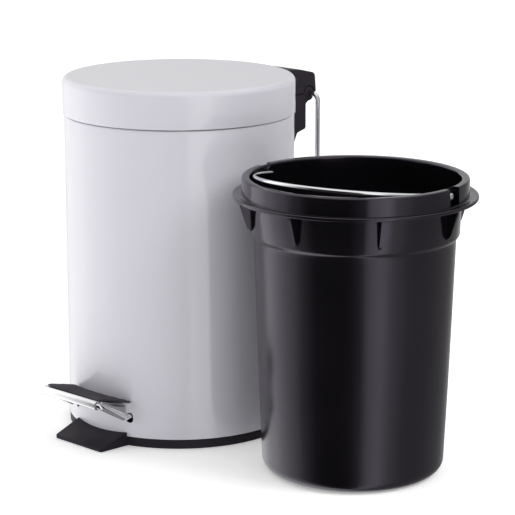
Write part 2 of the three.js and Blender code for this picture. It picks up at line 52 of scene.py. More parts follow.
# ---------------------------------------------------------------- camera
CAMERA_PLACE = (1.1111, -1.0683, 0.4867)
CAMERA_TURN = 44
CAMERA_DIP = 13.34
CAMERA_LENS = 148.9
SENSOR_WIDTH = 36
CAMERA_REACH = 20


def build_camera():
    """Camera at the photograph's viewing angle, turned and dipped by degrees."""
    data = bpy.data.cameras.new("camera")
    data.sensor_width = SENSOR_WIDTH
    data.lens = CAMERA_LENS
    data.clip_end = CAMERA_REACH
    camera = bpy.data.objects.new("camera", data)
    camera.location = CAMERA_PLACE
    camera.rotation_euler = (math.radians(90 - CAMERA_DIP), 0, math.radians(CAMERA_TURN))
    scene.collection.objects.link(camera)
    scene.camera = camera


build_camera()


# ---------------------------------------------------------------- dimensions, mm
def mm(metres):
    """A length from the frame in mm, without its single-precision noise."""
    return round(metres / MM, 2)


def node_box(node):
    """Lowest and highest corners of a CAD node, in mm."""
    low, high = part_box(node)
    return [mm(v) for v in low], [mm(v) for v in high]


def joint_place(name):
    """The point a joint turns about, in mm."""
    joint = next(joint for joint in frame["joints"] if joint["name"] == name)
    return [mm(v) for v in joint["pos_m"]]


BODY_LOW, BODY_HIGH = node_box("body_shell")
LID_LOW, LID_HIGH = node_box("lid_shell")

# Can and lid
GAP = 0.3
SHEET = 0.6
BODY_R = BODY_HIGH[0]
BODY_BOTTOM = BODY_LOW[2]
BODY_TOP = LID_LOW[2] - GAP
BEAD_R = 1.6
BODY_HEM = 0.15
BODY_RINGS = (60, 120, 180)
LID_R = LID_HIGH[0]
LID_TOP = LID_HIGH[2]
LID_BOTTOM = LID_LOW[2]
LID_HEM = 0.25
LID_RINGS = (0, 30, 60)
LID_MIDDLE = 245
SHOULDER = 4.3
FRONT_WALL = (-90, -70)
REAR_WALL = (75, 90)

# Base, and its foot under the pedal
BASE_R = 83.9
BAND_TOP = 6.6
SPIGOT_R = 82.9
SPIGOT_INNER = 81.2
SPIGOT_TOP = 12
BASE_FLOOR = 2
BASE_RING = 40
BASE_EDGES = (0.7, 0.5, 0.4)
FOOT_TIP_Y = -104.5
FOOT_HEEL_Y = -79
FOOT_ROOT_Y = -60
FOOT_LIP = 2.5
FOOT_TOP = 10.3
FOOT_HALF_TIP = 24.4
FOOT_HALF_HEEL = 26.2
FOOT_HALF_ROOT = 27.8

# Lever wire
LEVER_WIRE = 2.0
LEVER_HALF = 28.0
LEVER_FRONT_HALF = 30.3
LEVER_BEND = 3.6
LEVER_FLAT_Z = 8
LEVER_BACK_Y = 76
LEVER_BACK_HALF = 12
LEVER_SPREAD_Y = 54
LEVER_RAMP_Y = (-44, -59)
LEVER_RISE = 0.581
KNEE_Y = -84.6
PIVOT = joint_place("pedal_pivot")[1:]
CROSS_PIN_HALF = node_box("pedal_lever")[1][0]
SLOT_HALF = 2.7
SLOT_Z = (17.4, 24.9)
SLOT_CORNER = 2.4

# Pedal plate and tread pad. Half widths are given at the roll and at the can, and s is the
# distance along the tilted plate, from near the can to the roll.
TILT = math.radians(14.2)
ROLL_Y = -109.9
ROLL_Z = PIVOT[1] + (KNEE_Y - ROLL_Y) * LEVER_RISE
ROLL_R = 3.2
ROLL_S = 24.7
ROLL_HALF = 28.2
ROLL_SWEEP = 230
PLATE_T = 0.9
PLATE_INNER = 0.3
PLATE_FRONT = 31.0
PLATE_BACK = 31.5
PLATE_ENDS_Y = (-108.5, -78.5)
CHEEK_TIP_Y = -83.4
CHEEK_TIP_Z = PIVOT[1] + 3.1
CHEEK_SLANT = 4.2
CHEEK_LEAN = 0.18
CHEEK_LEAN_Z = 23
PAD_INNER = 0.9
PAD_CORNER_S = -5.2
PAD_FRONT = 27.6
PAD_BACK = 30.3
PAD_HEIGHTS = (0.3, 1.5)
STUD_ROWS = 15
STUD_PITCH = 2.2
STUD_FIRST_S = 22.6
STUD_SIDE_MARGIN = 1.4
STUD_INNER_MARGIN = 1.3
STUD_SECTIONS = ((1.4, 0.8), (1.85, 0.74), (1.99, 0.55))
WALL_CURVE = 0.0064

# Hinge, carry handle, lift rod and screws
HINGE_Y, HINGE_Z = joint_place("handle_swing")[1:]
PIN_HALF = node_box("hinge_pin")[1][0]
HANDLE_WIRE = 1.7
HANDLE_HALF = 38.3
HANDLE_DROP = 78.0
HANDLE_BENDS = (4.4, 9)
ROD_R = 1.5
ROD_FOOT_Y = 70
ROD_IN_Y = 80.2
ROD_OUT_Y = 90.8
ROD_CRANK_Z = 188
ROD_TOP = node_box("lift_rod")[1][2]
ROD_SLOT_HALF = 2.5
ROD_SLOT_Z = (187.5, 220)
ROD_SLOT_CORNER = 2.2
SCREW_LENGTH = 10
SCREW_R = 1.5
SCREW_HOLE_R = 1.8
SCREW_DRIVE = (0.35, 2)
SCREW_DRIVE_DEPTH = (-3, -1.2)
SCREW_HEAD = [(0, -1.7), (0.9, -1.67), (1.8, -1.5), (2.5, -1.15), (2.9, -0.6), (3, -0.2), (3, 0)]

# Bucket and bail; radii and reaches are measured from the bucket's own axis
BUCKET_X, _, BAIL_Z = joint_place("bail_swing")
BUCKET_TURN = math.radians(9.3)
BUCKET_PLACE = Matrix.Translation((BUCKET_X * MM, 0, 0)) @ Matrix.Rotation(BUCKET_TURN, 4, "Z")
FIN_COUNT = 8
FIN_HALF = 0.9
SEAT_HALF = 6
SEAT_WALL = 1.2
SEAT_WALL_REACH = (72.2, 77)
SEAT_WALL_Z = (193, 206.2)
BOSS_R = 4.2
BOSS_REACH = (69.9, 72.4)
RECESS_REACH = (73.2, 80)
RECESS_Z = (195.4, 210)
BORE_R = 1.58
BORE_REACH = (66, 76)
BAIL_WIRE = 1.5
BAIL_HALF = 68.0
BAIL_DEPTH = 70.2
BAIL_HEAD = 75.2
KNOB_R = 2.3
KNOB_REACH = (73.6, BAIL_HEAD + 0.4)
BAIL_TILT = math.radians(7.5)
ARCH_START = 12
ARCH_STEPS = 64

# ---------------------------------------------------------------- mesh tools
ALONG_X = Matrix(((0, 0, 1, 0), (1, 0, 0, 0), (0, 1, 0, 0), (0, 0, 0, 1)))
ALONG_Y = Matrix(((1, 0, 0, 0), (0, 0, 1, 0), (0, 1, 0, 0), (0, 0, 0, 1)))
ALONG_Z = Matrix.Identity(4)


def smooth(mesh, angle):
    """Smooth shading, with edges bent by more than angle degrees kept sharp."""
    bm = bmesh.new()
    bm.from_mesh(mesh)
    limit = math.radians(angle)
    for face in bm.faces:
        face.smooth = True
    for edge in bm.edges:
        edge.smooth = len(edge.link_faces) == 2 and edge.calc_face_angle(0) < limit
    bm.to_mesh(mesh)
    bm.free()


def new_object(name, bm, angle=35):
    """Object from a finished bmesh, which is freed."""
    bmesh.ops.recalc_face_normals(bm, faces=bm.faces[:])
    mesh = bpy.data.meshes.new(name)
    bm.to_mesh(mesh)
    bm.free()
    smooth(mesh, angle)
    obj = bpy.data.objects.new(name, mesh)
    scene.collection.objects.link(obj)
    return obj


def arc(a, b, radius, start, end, steps):
    """Points of an arc about (a, b), angles in degrees."""
    angles = [math.radians(start + (end - start) * i / steps) for i in range(steps + 1)]
    return [(a + radius * math.cos(t), b + radius * math.sin(t)) for t in angles]


def corner_arc(before, corner, after, radius, steps):
    """Points of the arc that rounds a corner, from its side towards before to its side towards after."""
    u = (before - corner).normalized()
    v = (after - corner).normalized()
    half = u.angle(v) / 2
    centre = corner + (u + v).normalized() * radius / math.sin(half)
    start = corner + u * radius / math.tan(half) - centre
    end = corner + v * radius / math.tan(half) - centre
    sweep = start.angle(end)
    points = []
    for k in range(steps + 1):
        t = k / steps
        a = math.sin((1 - t) * sweep) / math.sin(sweep)
        b = math.sin(t * sweep) / math.sin(sweep)
        points.append(centre + start * a + end * b)
    return points


def rounded(points, steps=5):
    """A closed outline: (a, b) points stay sharp and (a, b, radius) points are rounded."""
    out = []
    for i, (a, b, *radius) in enumerate(points):
        corner = Vector((a, b))
        if not any(radius):
            out.append(corner)
            continue
        before = Vector(points[i - 1][:2])
        after = Vector(points[(i + 1) % len(points)][:2])
        out += corner_arc(before, corner, after, radius[0], steps)
    return out


def bent(points, radius, steps=8):
    """An open path with each inner corner rounded."""
    corners = [Vector(p) for p in points]
    path = [corners[0]]
    for before, corner, after in zip(corners, corners[1:], corners[2:]):
        path += corner_arc(before, corner, after, radius, steps)
    path.append(corners[-1])
    return path


def box_points(a0, a1, b0, b1, radius=0):
    """Outline of a rectangle with its four corners rounded."""
    return rounded([(a0, b0, radius), (a1, b0, radius), (a1, b1, radius), (a0, b1, radius)])


def lathe(name, profile, segments=192):
    """Solid of revolution about the Z axis from (radius, height) points in mm."""
    bm = bmesh.new()
    rings = []
    for radius, z in profile:
        turns = [2 * math.pi * k / segments for k in range(segments if radius > 0 else 1)]
        circle = [(radius * math.cos(t), radius * math.sin(t)) for t in turns]
        rings.append([bm.verts.new((x * MM, y * MM, z * MM)) for x, y in circle])
    pairs = list(zip(rings, rings[1:]))
    if len(rings[0]) > 1 or len(rings[-1]) > 1:
        pairs.append((rings[-1], rings[0]))
    for a, b in pairs:
        for k in range(segments):
            n = (k + 1) % segments
            corners = [a[k % len(a)], a[n % len(a)], b[n % len(b)], b[k % len(b)]]
            face = list(dict.fromkeys(corners))
            if len(face) > 2:
                bm.faces.new(face)
    return new_object(name, bm)


def domed(stations, dome=0.4):
    """The stations of an open wire, with its end faces made narrower by dome mm."""
    point, tangent, normal, radius = stations[0]
    start = [(point, tangent, normal, radius - dome), (point + tangent * dome, tangent, normal, radius)]
    point, tangent, normal, radius = stations[-1]
    end = [(point - tangent * dome, tangent, normal, radius), (point, tangent, normal, radius - dome)]
    return start + stations[1:-1] + end


def wire(name, path, radius, closed=False, sides=28):
    """Round wire along a path of mm points."""
    count = len(path)

    def direction(i):
        after = path[(i + 1) % count] if closed else path[min(i + 1, count - 1)]
        before = path[i - 1] if closed else path[max(i - 1, 0)]
        return (after - before).normalized()

    tangent = direction(0)
    seed = Vector((0, 0, 1)) if abs(tangent.z) < 0.9 else Vector((1, 0, 0))
    normal = seed.cross(tangent).normalized()
    stations = []
    for i in range(count):
        following = direction(i)
        normal = tangent.rotation_difference(following) @ normal
        tangent = following
        stations.append((path[i], tangent, normal, radius))

    bm = bmesh.new()
    turns = [2 * math.pi * k / sides for k in range(sides)]
    rings = []
    for p, t, n, r in stations if closed else domed(stations):
        side = t.cross(n)
        rings.append([bm.verts.new((p + n * r * math.cos(a) + side * r * math.sin(a)) * MM) for a in turns])
    pairs = list(zip(rings, rings[1:]))
    if closed:
        pairs.append((rings[-1], rings[0]))
    for a, b in pairs:
        for k in range(sides):
            n = (k + 1) % sides
            bm.faces.new((a[k], a[n], b[n], b[k]))
    if not closed:
        bm.faces.new(rings[0])
        bm.faces.new(rings[-1])
    return new_object(name, bm, 50)


def prism(name, points, start, end, matrix):
    """Outline of (a, b) points extruded along the third axis of matrix, all in mm."""
    bm = bmesh.new()
    low = [bm.verts.new(matrix @ Vector((a, b, start)) * MM) for a, b in points]
    high = [bm.verts.new(matrix @ Vector((a, b, end)) * MM) for a, b in points]
    bm.faces.new(low)
    bm.faces.new(high)
    for k in range(len(points)):
        n = (k + 1) % len(points)
        bm.faces.new((low[k], low[n], high[n], high[k]))
    return new_object(name, bm)


def rod(name, radius, start, end, sides=48):
    """Straight round bar between two mm points."""
    start, end = Vector(start), Vector(end)
    turn = Vector((0, 0, 1)).rotation_difference((end - start).normalized()).to_matrix().to_4x4()
    circle = arc(0, 0, radius, 0, 360 - 360 / sides, sides - 1)
    return prism(name, circle, 0, (end - start).length, Matrix.Translation(start) @ turn)


def apply_modifiers(obj):
    """Turns what the modifiers make of an object into its mesh."""
    graph = bpy.context.evaluated_depsgraph_get()
    mesh = bpy.data.meshes.new_from_object(obj.evaluated_get(graph))
    old = obj.data
    obj.modifiers.clear()
    obj.data = mesh
    mesh.name = obj.name
    bpy.data.meshes.remove(old)
    return obj


def combine(obj, others, operation, angle=35):
    """Boolean of obj with each of the others, which are used up."""
    for i, other in enumerate(others):
        modifier = obj.modifiers.new(f"bool_{i}", "BOOLEAN")
        modifier.operation = operation
        modifier.solver = "EXACT"
        modifier.object = other
    apply_modifiers(obj)
    for other in others:
        bpy.data.objects.remove(other)
    smooth(obj.data, angle)
    return obj


def join(obj, other):
    """Adds another object's faces to obj as separate shells, and uses the other up."""
    bm = bmesh.new()
    bm.from_mesh(obj.data)
    bm.from_mesh(other.data)
    bm.to_mesh(obj.data)
    bm.free()
    bpy.data.objects.remove(other)
    return obj


def bevel(obj, width, segments=2, angle=50):
    """Rounds the edges that are sharper than angle degrees, by width mm."""
    modifier = obj.modifiers.new("bevel", "BEVEL")
    modifier.width = width * MM
    modifier.segments = segments
    modifier.limit_method = "ANGLE"
    modifier.angle_limit = math.radians(angle)
    modifier.harden_normals = False
    apply_modifiers(obj)
    smooth(obj.data, 50)
    return obj


def mirrored(obj):
    """A copy of an object on the other side of the can."""
    copy = bpy.data.objects.new(obj.name, obj.data.copy())
    scene.collection.objects.link(copy)
    copy.data.transform(Matrix.Scale(-1, 4, (1, 0, 0)))
    copy.data.flip_normals()
    return copy


def turned(obj, angle):
    """The same object with its mesh turned about the Z axis."""
    obj.data.transform(Matrix.Rotation(angle, 4, "Z"))
    return obj


def softened(name, node):
    """A moulded copy of a CAD node with its edges rounded over."""
    obj = bpy.data.objects.new(name, frame["nodes"][node].data.copy())
    scene.collection.objects.link(obj)
    weld = obj.modifiers.new("weld", "WELD")
    weld.merge_threshold = 1e-6
    remesh = obj.modifiers.new("remesh", "REMESH")
    remesh.mode = "VOXEL"
    remesh.voxel_size = 0.4 * MM
    remesh.use_smooth_shade = True
    relax = obj.modifiers.new("relax", "SMOOTH")
    relax.factor = 0.5
    relax.iterations = 4
    apply_modifiers(obj)
    for polygon in obj.data.polygons:
        polygon.use_smooth = True
    return obj


# ---------------------------------------------------------------- materials
WHITE = (1, 1, 1, 1)
BLACK_SHEEN = (0.9, 0.79, 1.0, 1)
COLLAR_START = (0.166, 0.172)


class Shader:
    """A Principled material with helpers for the few node patterns used here."""

    def __init__(self, name, **values):
        self.material = bpy.data.materials.new(name)
        self.material.use_nodes = True
        self.tree = self.material.node_tree
        self.bsdf = self.tree.nodes["Principled BSDF"]
        for socket, value in values.items():
            self.bsdf.inputs[socket.replace("_", " ")].default_value = value
        self.coords = self.node("ShaderNodeTexCoord")

    def node(self, kind, **inputs):
        node = self.tree.nodes.new(kind)
        for name, value in inputs.items():
            node.inputs[name].default_value = value
        return node

    def link(self, a, b):
        self.tree.links.new(a, b)

    def noise(self, scale, detail, stretch=(1, 1, 1)):
        mapping = self.node("ShaderNodeMapping", Scale=stretch)
        self.link(self.coords.outputs["Object"], mapping.inputs["Vector"])
        noise = self.node("ShaderNodeTexNoise", Scale=scale, Detail=detail)
        self.link(mapping.outputs["Vector"], noise.inputs["Vector"])
        return noise.outputs["Fac"]

    def ramp(self, source, low, high, start=0.3, end=0.7):
        """Maps source, between start and end, to low..high: two numbers or two colours."""
        ramp = self.node("ShaderNodeValToRGB")
        self.link(source, ramp.inputs["Fac"])
        for element, value, place in zip(ramp.color_ramp.elements, (low, high), (start, end)):
            element.position = place
            element.color = value if isinstance(value, tuple) else (value, value, value, 1)
        return ramp.outputs["Color"]

    def height_ramp(self, start, end):
        """0 below start and 1 above end, both heights in metres."""
        height = self.node("ShaderNodeSeparateXYZ")
        self.link(self.coords.outputs["Object"], height.inputs["Vector"])
        return self.ramp(height.outputs["Z"], 0.0, 1.0, start, end)

    def bump(self, source, strength, distance, after=None):
        bump = self.node("ShaderNodeBump", Strength=strength, Distance=distance)
        self.link(source, bump.inputs["Height"])
        if after is not None:
            self.link(after, bump.inputs["Normal"])
        return bump.outputs["Normal"]

    def mix(self, factor, a, b):
        """Blends two colours: a where factor is 0 and b where it is 1."""
        mix = self.node("ShaderNodeMix")
        mix.data_type = "RGBA"
        for index, output in ((0, factor), (6, a), (7, b)):
            self.link(output, mix.inputs[index])
        return mix.outputs[2]

    def set(self, socket, output):
        self.link(output, self.bsdf.inputs[socket])


def paint_material():
    """Gloss powder coat: faint orange peel and slightly uneven gloss."""
    s = Shader("powder_coat", Coat_Weight=1.0, Coat_Roughness=0.07, Coat_IOR=1.7, Specular_IOR_Level=0.2)
    s.set("Base Color", s.ramp(s.noise(7, 3), (0.628, 0.62, 0.680, 1), (0.642, 0.634, 0.694, 1)))
    s.set("Roughness", s.ramp(s.noise(26, 4), 0.34, 0.4))
    s.set("Normal", s.bump(s.noise(1100, 2), 0.04, 0.0003))
    return s.material


def chrome_material():
    """Bright plating with hairline wipe marks."""
    s = Shader("chrome", Metallic=1.0, IOR=2.5)
    s.set("Base Color", s.ramp(s.noise(40, 4), (0.80, 0.80, 0.825, 1), (0.90, 0.90, 0.92, 1)))
    s.set("Roughness", s.ramp(s.noise(160, 6, (1, 1, 0.2)), 0.05, 0.14))
    s.set("Normal", s.bump(s.noise(700, 3, (0.1, 1, 1)), 0.04, 0.0002))
    return s.material


def steel_material():
    """Zinc plated steel: mottled, satin."""
    s = Shader("zinc_steel", Metallic=1.0)
    s.set("Base Color", s.ramp(s.noise(60, 6), (0.50, 0.505, 0.52, 1), (0.66, 0.665, 0.68, 1)))
    s.set("Roughness", s.ramp(s.noise(120, 5), 0.28, 0.45))
    s.set("Normal", s.bump(s.noise(900, 4), 0.08, 0.0002))
    return s.material


def moulded_material(name, dark, light, roughness, grain, level=0.5, sheen=BLACK_SHEEN):
    """Moulded plastic or rubber: soft handling marks, and a grain of (scale, strength)."""
    s = Shader(name, Specular_IOR_Level=level, Specular_Tint=sheen)
    s.set("Base Color", s.ramp(s.noise(25, 6), dark, light))
    s.set("Roughness", s.ramp(s.noise(70, 5), *roughness))
    scale, strength = grain
    s.set("Normal", s.bump(s.noise(scale, 3), strength, 0.0003))
    return s.material


def bucket_material():
    """Glossy injection-moulded black: slight sink waves, faint vertical drag lines and a shinier collar."""
    s = Shader("gloss_black", Specular_IOR_Level=0.85, Specular_Tint=BLACK_SHEEN)
    s.set("Base Color", s.ramp(s.noise(18, 4), (0.0026, 0.0023, 0.0029, 1), (0.0042, 0.0037, 0.0047, 1)))
    wall = s.ramp(s.noise(45, 6, (1, 1, 0.25)), 0.19, 0.27)
    collar = s.ramp(s.noise(45, 6, (1, 1, 0.25)), 0.09, 0.14)
    s.set("Roughness", s.mix(s.height_ramp(*COLLAR_START), wall, collar))
    drag = s.bump(s.noise(420, 3, (1, 1, 0.05)), 0.05, 0.0003)
    s.set("Normal", s.bump(s.noise(14, 1, (1, 1, 0.4)), 0.06, 0.002, drag))
    return s.material


PAINT = paint_material()
CHROME = chrome_material()
STEEL = steel_material()
BLACK = moulded_material(
    "black_plastic", (0.019, 0.0162, 0.0205, 1), (0.028, 0.024, 0.0305, 1), (0.46, 0.58), (1500, 0.18),
    level=0.14)
GREY = moulded_material(
    "grey_plastic", (0.24, 0.245, 0.255, 1), (0.28, 0.285, 0.295, 1), (0.4, 0.5), (1200, 0.15), sheen=WHITE)
RUBBER = moulded_material(
    "tread_rubber", (0.032, 0.028, 0.034, 1), (0.06, 0.054, 0.0635, 1), (0.55, 0.75), (1800, 0.25))
GLOSS_BLACK = bucket_material()


def finish_piece(obj, body, material, node):
    """Gives a new piece its material and its body, and hides the CAD node that it stands for."""
    obj.data.materials.clear()
    obj.data.materials.append(material)
    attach(obj, body)
    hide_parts(node)


# ---------------------------------------------------------------- can, lid and base
def screw_place(node):
    """Where the underside of a screw's head is, in mm; the screw points along +Y."""
    low, high = node_box(node)
    return (low[0] + high[0]) / 2, high[1] - SCREW_LENGTH, (low[2] + high[2]) / 2


def screw_hole(node):
    """Cutter for the hole that a screw goes through."""
    x, _, z = screw_place(node)
    return rod("hole", SCREW_HOLE_R, (x, REAR_WALL[0], z), (x, REAR_WALL[1], z), 24)


def build_body():
    """Painted tube with a bead rolled in at its rim, two slots for the lever and one for the lift rod."""
    inner = BODY_R - SHEET
    bead_end = 360 - math.degrees(math.acos((inner - BODY_R + BEAD_R) / BEAD_R))
    profile = [(BODY_R, BODY_BOTTOM + BODY_HEM)] + [(BODY_R, z) for z in BODY_RINGS]
    profile += arc(BODY_R - BEAD_R, BODY_TOP - BEAD_R, BEAD_R, 0, bead_end, 24)
    profile += [(inner, BODY_RINGS[1]), (inner, BODY_BOTTOM), (BODY_R - BODY_HEM, BODY_BOTTOM)]
    body = lathe("can_body", profile)
    cutters = []
    for x, screw in ((-LEVER_HALF, "body_screw_left"), (LEVER_HALF, "body_screw_right")):
        slot = box_points(x - SLOT_HALF, x + SLOT_HALF, *SLOT_Z, SLOT_CORNER)
        cutters.append(prism("slot", slot, *FRONT_WALL, ALONG_Y))
        cutters.append(screw_hole(screw))
    rod_slot = box_points(-ROD_SLOT_HALF, ROD_SLOT_HALF, *ROD_SLOT_Z, ROD_SLOT_CORNER)
    cutters.append(prism("rod_slot", rod_slot, *REAR_WALL, ALONG_Y))
    return combine(body, cutters, "DIFFERENCE")


def build_lid():
    """Pressed lid with a flat top and a rounded shoulder."""
    shoulder_r = LID_R - SHOULDER
    shoulder_z = LID_TOP - SHOULDER
    inner = LID_R - SHEET
    profile = [(r, LID_TOP) for r in (*LID_RINGS, shoulder_r - 3)]
    profile += arc(shoulder_r, shoulder_z, SHOULDER, 90, 0, 16) + [(LID_R, LID_MIDDLE)]
    profile += arc(LID_R - LID_HEM, LID_BOTTOM + LID_HEM, LID_HEM, 0, -90, 4)
    profile += [(inner, LID_BOTTOM), (inner, LID_MIDDLE)]
    profile += arc(shoulder_r, shoulder_z, SHOULDER - SHEET, 0, 90, 12)
    profile += [(LID_RINGS[2], LID_TOP - SHEET), (0, LID_TOP - SHEET)]
    holes = [screw_hole("lid_screw_left"), screw_hole("lid_screw_right")]
    return combine(lathe("lid", profile), holes, "DIFFERENCE")


def disc(name, radius, low, high):
    """Solid disc about the Z axis, between two heights."""
    return lathe(name, [(0, low), (radius, low), (radius, high), (0, high)], 256)


def build_pan():
    """Round base: a band under the can's wall, and a spigot inside it."""
    low, high, edge = BASE_EDGES
    profile = [(0, 0), (BASE_RING, 0), (SPIGOT_R, 0)] + arc(BASE_R - low, low, low, -90, 0, 5)
    profile += arc(BASE_R - high, BAND_TOP - high, high, 0, 90, 4)
    profile += [(SPIGOT_R, BAND_TOP), (SPIGOT_R, SPIGOT_TOP - edge), (SPIGOT_R - edge, SPIGOT_TOP)]
    profile += [(SPIGOT_INNER + edge, SPIGOT_TOP), (SPIGOT_INNER, SPIGOT_TOP - edge)]
    profile += [(SPIGOT_INNER, BASE_FLOOR), (BASE_RING, BASE_FLOOR), (0, BASE_FLOOR)]
    return lathe("base_pan", profile)


def build_foot():
    """Ramp that reaches forwards under the pedal, and its heel that hugs the can."""
    side = rounded([
        (FOOT_ROOT_Y, 0), (FOOT_TIP_Y, 0, 0.5), (FOOT_TIP_Y, FOOT_LIP, 0.8), (FOOT_HEEL_Y, FOOT_TOP, 0.5),
        (FOOT_ROOT_Y, FOOT_TOP)])
    foot = prism("ramp", side, -30, 30, ALONG_X)
    plan = rounded([
        (-FOOT_HALF_ROOT, FOOT_ROOT_Y), (-FOOT_HALF_HEEL, FOOT_HEEL_Y), (-FOOT_HALF_TIP, FOOT_TIP_Y, 1.6),
        (FOOT_HALF_TIP, FOOT_TIP_Y, 1.6), (FOOT_HALF_HEEL, FOOT_HEEL_Y), (FOOT_HALF_ROOT, FOOT_ROOT_Y)])
    combine(foot, [prism("plan", plan, -1, 20, ALONG_Z)], "INTERSECT")
    wall = disc("wall", BODY_R + GAP, BAND_TOP, 20)
    hollow = disc("hollow", SPIGOT_R + 0.05, -1, BAND_TOP + 1)
    combine(foot, [wall, hollow], "DIFFERENCE")
    return bevel(foot, 0.35, 3)


def build_base():
    """Pan and foot in one moulding."""
    base = build_pan()
    combine(base, [build_foot()], "UNION")
    base.name = "base_with_foot"
    return base


# ---------------------------------------------------------------- pedal
def lever_z(y):
    """Height of the lever's wire in front of the can."""
    return PIVOT[1] + max(KNEE_Y - y, 0) * LEVER_RISE


def build_lever():
    """Closed loop of wire from the roll to the rod's foot, with the cross pin it turns on."""
    back = (0, LEVER_BACK_Y, LEVER_FLAT_Z)

    def side(s):
        return [
            (s * LEVER_BACK_HALF, LEVER_BACK_Y, LEVER_FLAT_Z),
            (s * LEVER_HALF, LEVER_SPREAD_Y, LEVER_FLAT_Z),
            (s * LEVER_HALF, LEVER_RAMP_Y[0], LEVER_FLAT_Z),
            (s * LEVER_HALF, LEVER_RAMP_Y[1], PIVOT[1]),
            (s * LEVER_HALF, KNEE_Y, PIVOT[1]),
            (s * LEVER_FRONT_HALF, ROLL_Y, ROLL_Z),
        ]

    path = bent([back] + side(1) + side(-1)[::-1] + [back], LEVER_BEND, 9)
    lever = wire("lever_wire", path[1:], LEVER_WIRE, closed=True)
    pin = rod("pin", LEVER_WIRE, (-CROSS_PIN_HALF, *PIVOT), (CROSS_PIN_HALF, *PIVOT))
    return combine(lever, [pin], "UNION", 50)


OUT = Vector((0, -math.cos(TILT), math.sin(TILT)))
UP = Vector((0, math.sin(TILT), math.cos(TILT)))
PLATE_ORIGIN = Vector((0, ROLL_Y, ROLL_Z)) - OUT * ROLL_S + UP * ROLL_R
PLATE_MATRIX = Matrix.Translation(PLATE_ORIGIN) @ Matrix((
    (-1, OUT.x, UP.x, 0), (0, OUT.y, UP.y, 0), (0, OUT.z, UP.z, 0), (0, 0, 0, 1)))


def inner_edge(x, inner):
    """Edge of the plate or pad beside the can, hollowed to follow its wall."""
    return inner - WALL_CURVE * x * x


def pedal_outline(front, back, inner, outer, corner, steps=32):
    """Outline of the plate or pad, wider at the can than at the roll."""
    points = []
    for i in range(steps + 1):
        x = back * (1 - 2 * i / steps)
        radius = corner / 4 if i in (0, steps) else 0
        points.append((x, inner_edge(x, inner), radius))
    points += [(-front, outer, corner), (front, outer, corner)]
    return rounded(points)


def build_cheek():
    """Side of the plate folded down beside the lever, deepest at the can and leaning outwards below."""
    front = ROLL_Y + ROLL_R + 0.5
    back = CHEEK_TIP_Y + CHEEK_SLANT
    above_wire = LEVER_WIRE / math.cos(math.atan(LEVER_RISE)) + 0.4

    def in_plate(y):
        return PLATE_ORIGIN.z - 0.4 + (PLATE_ORIGIN.y - y) * math.tan(TILT)

    side = rounded([
        (back, in_plate(back)), (CHEEK_TIP_Y, CHEEK_TIP_Z, 1.0),
        (front, lever_z(front) + above_wire), (front, in_plate(front))])
    cheek = prism("cheek", side, 20, 40, ALONG_X)
    near_roll, near_can = PLATE_ENDS_Y
    fold = [
        (PLATE_FRONT - PLATE_T, near_roll), (PLATE_FRONT, near_roll),
        (PLATE_BACK, near_can), (PLATE_BACK - PLATE_T, near_can)]
    combine(cheek, [prism("fold", fold, 0, 60, ALONG_Z)], "INTERSECT")
    for vertex in cheek.data.vertices:
        vertex.co.x -= CHEEK_LEAN * (vertex.co.z - CHEEK_LEAN_Z * MM)
    return cheek


def build_plate():
    """Pressed plate with its front edge rolled round the lever's wire."""
    outline = pedal_outline(PLATE_FRONT, PLATE_BACK, PLATE_INNER, ROLL_S, 2)
    plate = prism("pedal_plate_chrome", outline, -PLATE_T, 0, PLATE_MATRIX)
    start = 90 - math.degrees(TILT)
    section = arc(ROLL_Y, ROLL_Z, ROLL_R, start, start + ROLL_SWEEP, 40)
    section += arc(ROLL_Y, ROLL_Z, ROLL_R - PLATE_T, start + ROLL_SWEEP, start, 40)
    roll = prism("roll", section, -ROLL_HALF, ROLL_HALF, ALONG_X)
    cheek = build_cheek()
    combine(plate, [roll, cheek, mirrored(cheek)], "UNION")
    return bevel(plate, 0.16)


def add_stud(bm, x, s):
    """Adds one square stud of the tread, from its (height, half width) sections."""
    rings = []
    for height, half in STUD_SECTIONS:
        corners = ((-half, -half), (half, -half), (half, half), (-half, half))
        places = [PLATE_MATRIX @ Vector((x + dx, s + ds, height)) for dx, ds in corners]
        rings.append([bm.verts.new(place * MM) for place in places])
    for a, b in zip(rings, rings[1:]):
        for k in range(4):
            n = (k + 1) % 4
            bm.faces.new((a[k], a[n], b[n], b[k]))
    bm.faces.new(rings[-1])
    bm.faces.new(rings[0])


def build_pad():
    """Tread pad with a bevelled edge and rows of small studs."""
    outline = pedal_outline(PAD_FRONT, PAD_BACK, PAD_INNER, ROLL_S - 0.6, 1.2)
    pad = prism("tread_pad", outline, *PAD_HEIGHTS, PLATE_MATRIX)
    bevel(pad, 0.3)
    studs = bmesh.new()
    for row in range(STUD_ROWS):
        s = STUD_FIRST_S - row * STUD_PITCH
        widening = (PAD_BACK - PAD_FRONT) * (ROLL_S - s) / (ROLL_S - PAD_CORNER_S)
        count = int(2 * (PAD_FRONT + widening - STUD_SIDE_MARGIN) / STUD_PITCH)
        for column in range(count + 1):
            x = (column - count / 2) * STUD_PITCH
            if s >= inner_edge(x, PAD_INNER) + STUD_INNER_MARGIN:
                add_stud(studs, x, s)
    return join(pad, new_object("studs", studs))


